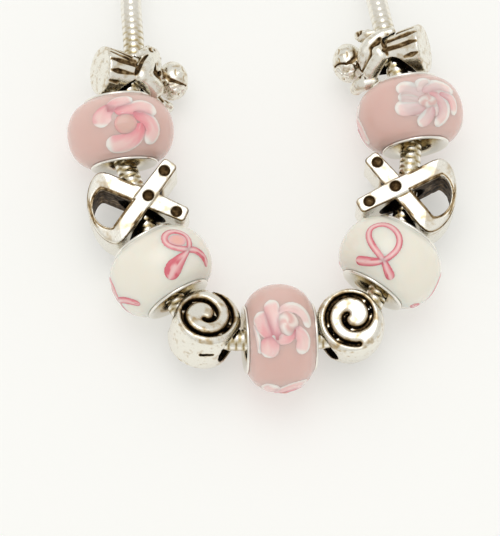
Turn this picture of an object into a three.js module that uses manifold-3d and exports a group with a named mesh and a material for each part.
// A charm-bead necklace lying on a table: eleven large-hole beads on a 3 mm snake chain.
// Millimetres. +X runs across the loop, +Y from the beads to the clasp, +Z up from the table.
import * as THREE from 'three';
import { mergeVertices } from 'three/addons/utils/BufferGeometryUtils.js';
import Module from 'manifold-3d';

const wasm = await Module();
wasm.setup();

// ---- Driving dimensions -----------------------------------------------------------------

// The chain's height inside a bead depends on how the bead rests on it.
const CHAIN = { radius: 1.45, sides: 8, sectionsPerSpan: 3, height: { glass: 6.75, silver: 6.6 } };
const BORE = 2.4; // radius of the hole through every bead
const BORE_SIDES = 22;
const SEAT = 0.3; // gap between pieces that touch on the real necklace

// Lampwork bead: a fat ring of glass, countersunk at both ends for its silver core.
const GLASS = {
  ringRadius: 4.0, halfLength: 4.2, face: 3.95, hole: 2.98, sinkMouth: 4.38, sinkDepth: 1.5,
  sides: 24, rings: 4,
};
// Silver core: a tube whose two ends are swaged open into trumpets.
const CORE = {
  wall: 0.3, throat: 2.75, mouth: 3.8, lip: 4.4, halfLength: 4.65, lipDepth: 0.32, chamfer: 0.12, sides: 20,
};
// Spiral bead: a short bulged drum, trimmed flat where the chain goes in.
const DRUM = {
  face: 4.15, waist: 4.6, halfHeight: 3.4, halfBore: 4.15, flare: 0.3, flareDepth: 0.9, sides: 28,
};
// The groove in its face: radius = start + growth * t ** power, over the given turns.
const SPIRAL = { start: 0.5, growth: 3.4, power: 0.58, turns: 1.35, width: 0.76, depth: 0.5, steps: 22 };

// Ribbon bead: an awareness ribbon, extruded, with its two strands crossing over the bore.
// strand and band are the widths of its straight strands and of the band round its loop's end.
const RIBBON = { halfDepth: 3.5, under: 0.45, strand: 2.35, band: 1.15, bandSwell: 0.5, loopSteps: 12 };
const TAIL = { x: 4.6, y: 3.1, roundFrom: 0.5, roundTo: 1.0, roundWidth: 0.55 };
const LOOP = { x: -4.1, y: 4.0, tip: -6.85 };
const PIT = { radius: 0.68, floor: 0.55, depth: 0.55, sides: 12 };
const PITS = [[4.15, 2.75], [1.2, 0.0], [4.2, -2.95]];

// Angel bead: a gowned figure lying across the chain, its head towards its own +X.
const ANGEL = { flatten: 0.86, deepen: 1.1, head: [1.85, 2.5, 2.1], headAt: 6.2, sides: 18 };
// Radius of the gown and bodice along the figure, from the flat hem to the neck.
const GOWN = [[0, -4.8], [2.85, -4.8], [3.1, -4.6], [3.0, -3.2], [2.9, -0.9], [3.05, 0.9], [2.7, 2.5],
  [1.7, 3.7], [0.95, 4.3], [0.9, 5.2], [0, 5.2]];
// Its sleeves and hands, tapered from one end to the other.
const ARMS = [
  { from: [0.6, -0.8, 2.5], to: [4.2, -2.9, 0.7], radii: [1.0, 0.75] },
  { from: [0.5, 1.5, 2.2], to: [2.5, 3.1, 1.3], radii: [0.95, 0.7] },
  { from: [2.3, 1.7, -1.2], to: [1.2, 2.7, 0.4], radii: [0.8, 0.6] },
];
const CLASP = { length: 15, width: 7.4, height: 5.6, corner: 2.2, bevel: 0.9, y: 100.3 };

const RADIUS = { pink: 7.1, white: 6.9 };
const SILVER_HEIGHT = 6.5; // the silver beads hang on the chain, clear of the table

// Beads in threading order. Each is turned by yaw about +Z, then pitch, then roll about its bore.
// slip is how far across the bore the chain lies from its middle.
const BEADS = [
  { name: 'left', kind: 'angel', x: -17.9, y: -60.3, yaw: 2, pitch: 0, roll: 28, slip: 0.2 },
  { name: 'left', kind: 'pink', x: -19.3, y: -68.7, yaw: 7, pitch: 5.5, roll: 0, slip: -0.3 },
  { name: 'left', kind: 'ribbon', x: -16.6, y: -78.65, yaw: 16, pitch: 0, roll: 0, slip: 0 },
  { name: 'left', kind: 'white', x: -13.8, y: -87.8, yaw: 31, pitch: 0, roll: 0, slip: 0 },
  { name: 'left', kind: 'spiral', x: -8.1, y: -95.6, yaw: 58, pitch: 0, roll: 23, slip: -0.55 },
  { name: 'centre', kind: 'pink', x: 1.7, y: -97.0, yaw: 94, pitch: 5, roll: 0, slip: 0 },
  { name: 'right', kind: 'spiral', x: 10.9, y: -95.2, yaw: -54, pitch: 0, roll: 0, slip: 0.55 },
  { name: 'right', kind: 'white', x: 16.3, y: -86.6, yaw: -32, pitch: 0, roll: 0, slip: 0 },
  { name: 'right', kind: 'ribbon', x: 18.2, y: -77.25, yaw: 168, pitch: 0, roll: 0, slip: -0.4 },
  { name: 'right', kind: 'pink', x: 19.2, y: -66.3, yaw: 9, pitch: 1.5, roll: 0, slip: 0 },
  { name: 'right', kind: 'angel', x: 16.8, y: -57.4, yaw: 184.5, pitch: 0, roll: 20, slip: 0 },
];

// The bare chain on each side: down from the last bead to the table, and round to the clasp.
const LEFT_RUN = [[-18.2, -49, 5.0], [-18.2, -36, 2.2], [-18.6, -16, 1.5], [-20, 8, 1.5], [-21.6, 32, 1.5],
  [-22.5, 53, 1.5], [-22.4, 72, 1.5], [-20.9, 86, 1.5], [-17.6, 95.4, 1.8], [-12.8, 99.7, 2.4]];
const RIGHT_RUN = [[15.0, -49, 5.0], [13.1, -36, 2.2], [13.6, -16, 1.5], [17.2, 8, 1.5], [20.6, 32, 1.5],
  [22.3, 53, 1.5], [22.4, 72, 1.5], [20.9, 86, 1.5], [17.6, 95.4, 1.8], [12.8, 99.7, 2.4]];
const CLASP_HEIGHT = 2.8; // the chain's ends meet the clasp at half its height

// ---- Materials --------------------------------------------------------------------------

const finish = (color, roughness, metalness) =>
  new THREE.MeshStandardMaterial({ color, roughness, metalness });
const ANTIQUE_SILVER = finish(0xcfcac0, 0.28, 1.0);
const BRIGHT_SILVER = finish(0xe2dfd8, 0.18, 1.0);
const PINK_GLASS = finish(0xd8b5ab, 0.12, 0.0);
const WHITE_GLASS = finish(0xebe6da, 0.12, 0.0);

// ---- Joining and cutting ----------------------------------------------------------------

function solid(geometry) {
  const plain = geometry.index ? geometry.toNonIndexed() : geometry.clone();
  plain.deleteAttribute('normal');
  plain.deleteAttribute('uv');
  const merged = mergeVertices(plain, 1e-4);
  return new wasm.Manifold(new wasm.Mesh({
    numProp: 3,
    vertProperties: new Float32Array(merged.attributes.position.array),
    triVerts: new Uint32Array(merged.index.array),
  }));
}

function geometryOf(body) {
  const { vertProperties, triVerts } = body.getMesh();
  const geometry = new THREE.BufferGeometry();
  geometry.setAttribute('position', new THREE.BufferAttribute(vertProperties, 3));
  geometry.setIndex(new THREE.BufferAttribute(triVerts, 1));
  return geometry;
}

const union = (bodies) => bodies.reduce((whole, body) => whole.add(body));

// A cylinder along +Y through the origin, as every bore is.
const boreCutter = (length) => solid(new THREE.CylinderGeometry(BORE, BORE, length, BORE_SIDES));

// ---- Glass beads ------------------------------------------------------------------------

// Half of a profile is given as [radius, y] from the bore outwards, mirrored to the other end.
function latheOfHalf(half, sides) {
  const there = half.map(([r, y]) => new THREE.Vector2(r, -y));
  const back = [...half].reverse().map(([r, y]) => new THREE.Vector2(r, y));
  return new THREE.LatheGeometry([...there, ...back, there[0].clone()], sides);
}

function glassBody(radius) {
  const { ringRadius, halfLength, face, hole, sinkMouth, sinkDepth, sides, rings } = GLASS;
  const half = [[hole, face - sinkDepth], [sinkMouth, face + 0.1]];
  const edge = Math.asin(face / halfLength);
  for (let i = 0; i < rings; i++) {
    const turn = edge * (1 - (i + 0.2) / rings);
    half.push([ringRadius + (radius - ringRadius) * Math.cos(turn), halfLength * Math.sin(turn)]);
  }
  return latheOfHalf(half, sides);
}

function silverCore() {
  const { wall, throat, mouth, lip, halfLength, lipDepth, chamfer, sides } = CORE;
  return latheOfHalf([
    [BORE, throat],
    [mouth, halfLength - chamfer],
    [lip - 0.2, halfLength],
    [lip, halfLength - chamfer],
    [lip, halfLength - lipDepth],
    [mouth + 0.32, halfLength - lipDepth],
    [BORE + wall, throat - chamfer],
  ], sides);
}

// ---- Spiral bead ------------------------------------------------------------------------

// The groove's middle line at t from 0, its inner end, to 1, where it runs out over the rim.
function spiralPoint(t) {
  const angle = (t - 1) * SPIRAL.turns * 2 * Math.PI;
  const radius = SPIRAL.start + SPIRAL.growth * t ** SPIRAL.power;
  return new THREE.Vector2(radius * Math.cos(angle), radius * Math.sin(angle));
}

function spiralCutter() {
  const left = [];
  const right = [];
  for (let i = 0; i <= SPIRAL.steps; i++) {
    const t = (i / SPIRAL.steps) ** 1.4;
    const here = spiralPoint(t);
    const along = spiralPoint(t + 0.01).sub(spiralPoint(Math.max(t - 0.01, 0))).normalize();
    const side = new THREE.Vector2(-along.y, along.x).multiplyScalar(SPIRAL.width / 2);
    left.push(here.clone().add(side));
    right.push(here.clone().sub(side));
  }
  const band = new THREE.Shape([...left, ...right.reverse()]);
  const cutter = new THREE.ExtrudeGeometry(band, { depth: SPIRAL.depth + 1, bevelEnabled: false });
  return solid(cutter.translate(0, 0, DRUM.halfHeight - SPIRAL.depth));
}

// The countersink at both mouths of the drum's bore.
function mouthCutters() {
  const { halfBore, flare, flareDepth } = DRUM;
  const half = flareDepth + 0.5;
  const wide = BORE + flare * half / flareDepth;
  return [1, -1].map((end) => {
    const cone = new THREE.CylinderGeometry(wide, BORE, half, BORE_SIDES).rotateX(end > 0 ? 0 : Math.PI);
    return solid(cone.translate(0, end * (halfBore - flareDepth + half / 2), 0));
  });
}

function spiralBead() {
  const { face, waist, halfHeight, halfBore, sides } = DRUM;
  const side = [[face - 0.5, 1.0], [face, 0.9], [waist - 0.1, 0.5], [waist, 0]];
  const profile = [[0, 1], ...side, ...side.slice(0, -1).reverse().map(([r, h]) => [r, -h]), [0, -1]]
    .reverse()
    .map(([r, h]) => new THREE.Vector2(r, h * halfHeight));
  const drum = solid(new THREE.LatheGeometry(profile, sides).rotateX(Math.PI / 2));
  const between = solid(new THREE.BoxGeometry(3 * waist, 2 * halfBore, 3 * waist));
  const cutters = union([boreCutter(4 * waist), ...mouthCutters(), spiralCutter()]);
  return geometryOf(drum.intersect(between).subtract(cutters));
}

// ---- Ribbon bead ------------------------------------------------------------------------

// An outline extruded from the ribbon's back face to its front.
function ribbonSlab(outline, depth) {
  const slab = new THREE.ExtrudeGeometry(outline, { depth, bevelEnabled: false });
  return solid(slab.translate(0, 0, -RIBBON.halfDepth));
}

// A straight strand from a corner of the loop over the bore to its tail, side +1 or -1 at the tail.
function strand(side, top) {
  const from = new THREE.Vector2(LOOP.x, -side * LOOP.y);
  const to = new THREE.Vector2(TAIL.x, side * TAIL.y);
  const along = to.clone().sub(from).normalize();
  const across = new THREE.Vector2(-along.y, along.x);
  const reach = RIBBON.strand / 2;
  const corner = (end, a, b) => end.clone().addScaledVector(along, a).addScaledVector(across, b);
  const { roundFrom, roundTo, roundWidth } = TAIL;
  const outline = new THREE.Shape([
    corner(from, 0, -reach),
    corner(to, roundFrom, -reach),
    corner(to, roundTo, -reach * roundWidth),
    corner(to, roundTo, reach * roundWidth),
    corner(to, roundFrom, reach),
    corner(from, 0, reach),
  ]);
  const bend = new THREE.CylinderGeometry(reach, reach, 2 * RIBBON.halfDepth, 20).rotateX(Math.PI / 2);
  return ribbonSlab(outline, RIBBON.halfDepth + top).add(solid(bend.translate(from.x, from.y, 0)));
}

// The closed end of the loop, a band bent round from one corner to the other.
function loopEnd() {
  const { band, bandSwell, loopSteps, halfDepth } = RIBBON;
  const reachX = LOOP.x - LOOP.tip;
  const reachY = LOOP.y + RIBBON.strand / 2;
  const outer = [];
  const inner = [];
  for (let i = 0; i <= loopSteps; i++) {
    const turn = Math.PI * (0.5 + i / loopSteps);
    const swell = band + bandSwell * Math.abs(Math.sin(turn));
    const [x, y] = [Math.cos(turn), Math.sin(turn)];
    outer.push(new THREE.Vector2(LOOP.x + reachX * x, reachY * y));
    inner.push(new THREE.Vector2(LOOP.x + (reachX - band) * x, (reachY - swell) * y));
  }
  return ribbonSlab(new THREE.Shape([...outer, ...inner.reverse()]), 2 * halfDepth);
}

function ribbonBead() {
  const { halfDepth, under } = RIBBON;
  const blank = union([strand(1, halfDepth), strand(-1, halfDepth - under), loopEnd()]);
  const pits = PITS.map(([x, y]) => {
    const pit = new THREE.CylinderGeometry(PIT.radius, PIT.floor, 2, PIT.sides).rotateX(Math.PI / 2);
    const top = y < 0 ? halfDepth - under : halfDepth;
    return solid(pit.translate(x, y, top + 1 - PIT.depth));
  });
  return geometryOf(blank.subtract(union([boreCutter(20), ...pits])));
}

// ---- Angel bead -------------------------------------------------------------------------

const ball = (radius, x, y, z, stretch = [1, 1, 1]) =>
  solid(new THREE.SphereGeometry(radius, 10, 6).scale(...stretch).translate(x, y, z));

// A tapered limb with round ends.
function limb(from, to, fromRadius, toRadius) {
  const start = new THREE.Vector3(...from);
  const end = new THREE.Vector3(...to);
  const middle = new THREE.CylinderGeometry(toRadius, fromRadius, start.distanceTo(end), 8);
  const turn = new THREE.Quaternion().setFromUnitVectors(
    new THREE.Vector3(0, 1, 0), end.clone().sub(start).normalize());
  middle.applyQuaternion(turn).translate(...start.add(end).multiplyScalar(0.5).toArray());
  return union([solid(middle), ball(fromRadius * 1.02, ...from), ball(toRadius * 1.02, ...to)]);
}

function angelBead() {
  const profile = GOWN.map(([r, x]) => new THREE.Vector2(r, x));
  const gown = new THREE.LatheGeometry(profile, ANGEL.sides).rotateZ(-Math.PI / 2);
  const figure = union([
    solid(gown.scale(1, ANGEL.flatten, ANGEL.deepen)),
    ball(1, ANGEL.headAt, 0, 0, ANGEL.head),
    ...ARMS.map(({ from, to, radii }) => limb(from, to, ...radii)),
  ]);
  return geometryOf(figure.subtract(boreCutter(20)));
}

// ---- Chain and clasp --------------------------------------------------------------------

// Sections fall evenly between the route's points, so they lie closest together among the beads.
class ChainRoute extends THREE.CatmullRomCurve3 {
  getUtoTmapping(u) {
    return u;
  }
}

function chainRoute() {
  const threaded = BEADS.map(({ kind, x, y, yaw, slip }) => {
    const turn = THREE.MathUtils.degToRad(yaw);
    const height = kind in RADIUS ? CHAIN.height.glass : CHAIN.height.silver;
    return [x + slip * Math.cos(turn), y + slip * Math.sin(turn), height];
  });
  const end = CLASP.length / 2 + SEAT;
  const points = [[-end, CLASP.y, CLASP_HEIGHT], ...[...LEFT_RUN].reverse(), ...threaded, ...RIGHT_RUN,
    [end, CLASP.y, CLASP_HEIGHT]];
  return new ChainRoute(points.map((point) => new THREE.Vector3(...point)));
}

function chain() {
  const corners = [];
  for (let i = 0; i < CHAIN.sides; i++) {
    const turn = (i + 0.5) * 2 * Math.PI / CHAIN.sides;
    corners.push(new THREE.Vector2(CHAIN.radius * Math.cos(turn), CHAIN.radius * Math.sin(turn)));
  }
  const section = new THREE.Shape(corners);
  const extrudePath = chainRoute();
  const steps = CHAIN.sectionsPerSpan * (extrudePath.points.length - 1);
  return new THREE.ExtrudeGeometry(section, { extrudePath, steps, bevelEnabled: false });
}

function clasp() {
  const { length, width, height, corner, bevel } = CLASP;
  const x = length / 2 - bevel;
  const y = width / 2 - bevel;
  const outline = new THREE.Shape();
  outline.moveTo(-x + corner, -y);
  outline.lineTo(x - corner, -y).absarc(x - corner, -y + corner, corner, -Math.PI / 2, 0);
  outline.lineTo(x, y - corner).absarc(x - corner, y - corner, corner, 0, Math.PI / 2);
  outline.lineTo(-x + corner, y).absarc(-x + corner, y - corner, corner, Math.PI / 2, Math.PI);
  outline.lineTo(-x, -y + corner).absarc(-x + corner, -y + corner, corner, Math.PI, 1.5 * Math.PI);
  return new THREE.ExtrudeGeometry(outline, {
    depth: height - 2 * bevel, bevelThickness: bevel, bevelSize: bevel, bevelSegments: 2, curveSegments: 3,
  }).translate(0, CLASP.y, bevel);
}

// ---- Assembly ---------------------------------------------------------------------------

const PIECES = {
  pink: [
    ['pink_glass', () => glassBody(RADIUS.pink), PINK_GLASS],
    ['pink_core', silverCore, BRIGHT_SILVER],
  ],
  white: [
    ['white_glass', () => glassBody(RADIUS.white), WHITE_GLASS],
    ['white_core', silverCore, BRIGHT_SILVER],
  ],
  spiral: [['spiral_bead', spiralBead, ANTIQUE_SILVER]],
  ribbon: [['ribbon_bead', ribbonBead, ANTIQUE_SILVER]],
  angel: [['angel_bead', angelBead, ANTIQUE_SILVER]],
};

function named(name, geometry, material) {
  const mesh = new THREE.Mesh(geometry, material);
  mesh.name = name;
  return mesh;
}

const necklace = new THREE.Group();
const shared = new Map(); // beads of a kind share one shape
for (const { name, kind, x, y, yaw, pitch, roll } of BEADS) {
  const bead = new THREE.Group();
  bead.position.set(x, y, RADIUS[kind] ?? SILVER_HEIGHT);
  const [turn, tip, spin] = [yaw, pitch, roll].map(THREE.MathUtils.degToRad);
  bead.rotation.set(tip, spin, turn, 'ZXY');
  for (const [piece, make, material] of PIECES[kind]) {
    if (!shared.has(piece)) shared.set(piece, make());
    bead.add(named(`${piece}_${name}`, shared.get(piece), material));
  }
  necklace.add(bead);
}
necklace.add(named('snake_chain', chain(), BRIGHT_SILVER));
necklace.add(named('clasp', clasp(), BRIGHT_SILVER));

export default necklace;
